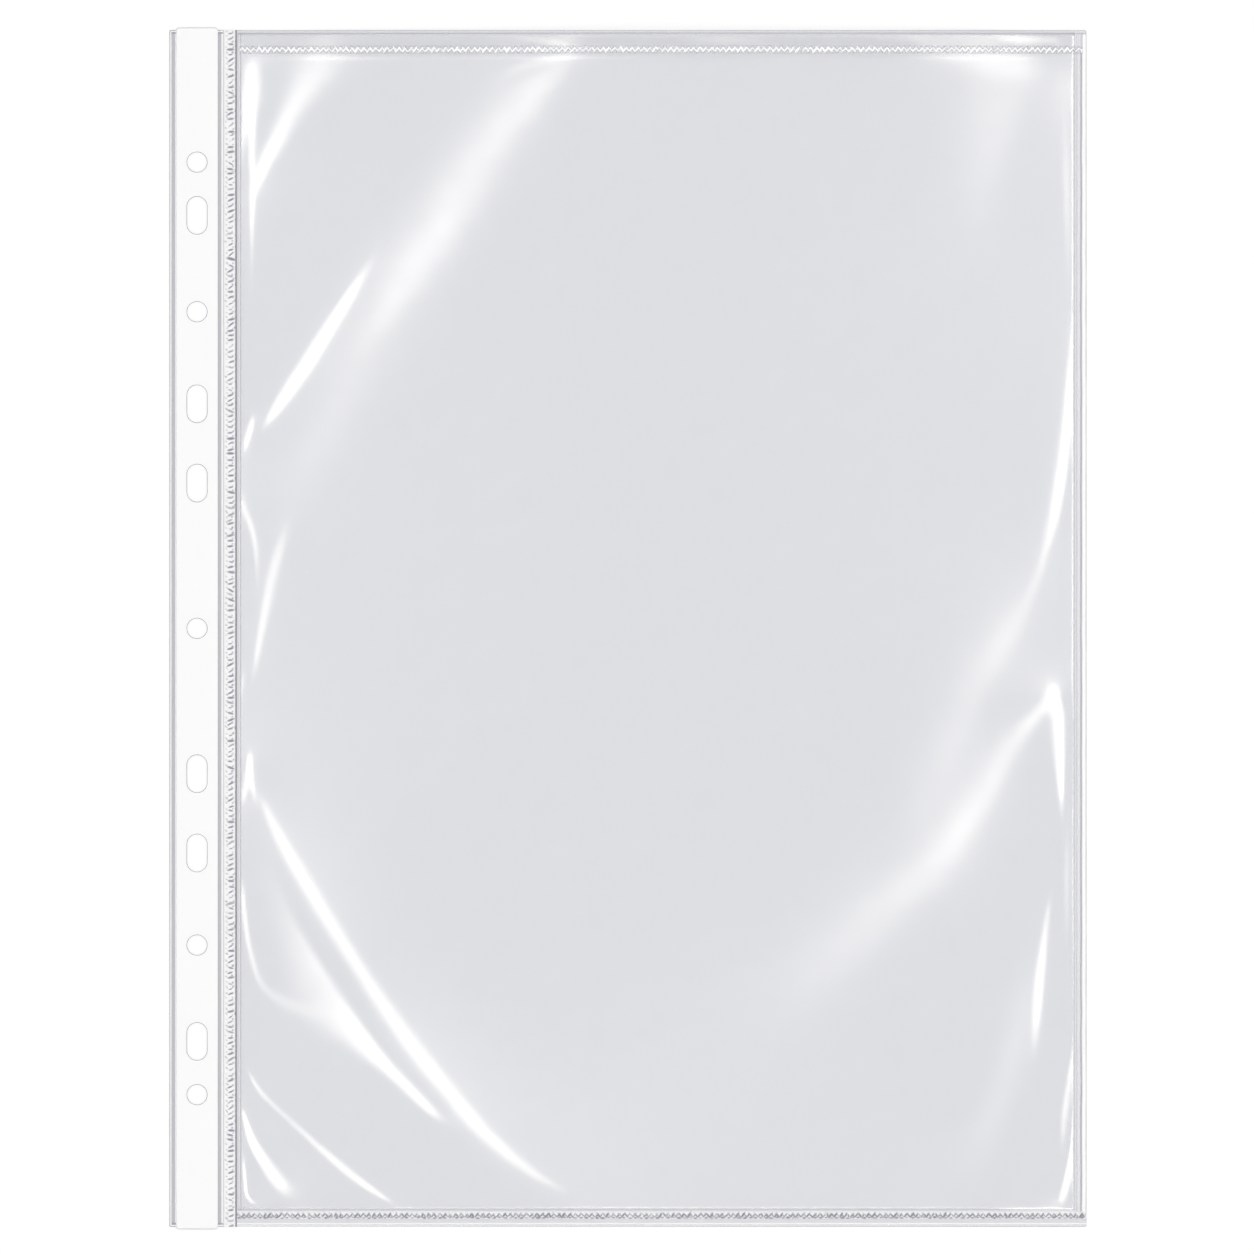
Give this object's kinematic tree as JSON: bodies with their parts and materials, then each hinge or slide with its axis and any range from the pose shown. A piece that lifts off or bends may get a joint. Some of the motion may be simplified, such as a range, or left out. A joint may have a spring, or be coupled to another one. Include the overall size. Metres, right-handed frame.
{
  "type": "sheet protector",
  "caption": "Clear plastic sheet protector with a punched white binding strip, knurled welds and a pocket that opens at the top to take a sheet of paper.",
  "frame": {"origin": "on the table, under the middle of the whole sheet", "axes": "+X from the binding strip to the free side, +Y towards the mouth, +Z out of the front film"},
  "size_m": [0.236, 0.3092, 0.0054],
  "materials": {
    "clear_film": "clear glossy polypropylene film",
    "pressed_weld": "clear film pressed to a knurl",
    "white_strip": "satin white"
  },
  "bodies": {
    "binding": {"margin_film": "clear_film", "binding_strip": "white_strip"},
    "pocket": {"back_film": "clear_film", "binding_weld": "pressed_weld", "bottom_weld": "pressed_weld", "side_weld": "pressed_weld"},
    "front": {"front_film": "clear_film", "mouth_hem": "pressed_weld"}
  },
  "joints": [
    {"name": "page_turn", "type": "hinge", "parent": "binding", "child": "pocket", "pos_m": [-0.1048, 0, 0.00012], "axis": [0, -1, 0], "range_deg": [0, 100]},
    {"name": "mouth_open", "type": "hinge", "parent": "pocket", "child": "front", "pos_m": [0, -0.1498, 0.00012], "axis": [1, 0, 0], "range_deg": [0, 3]}
  ]
}
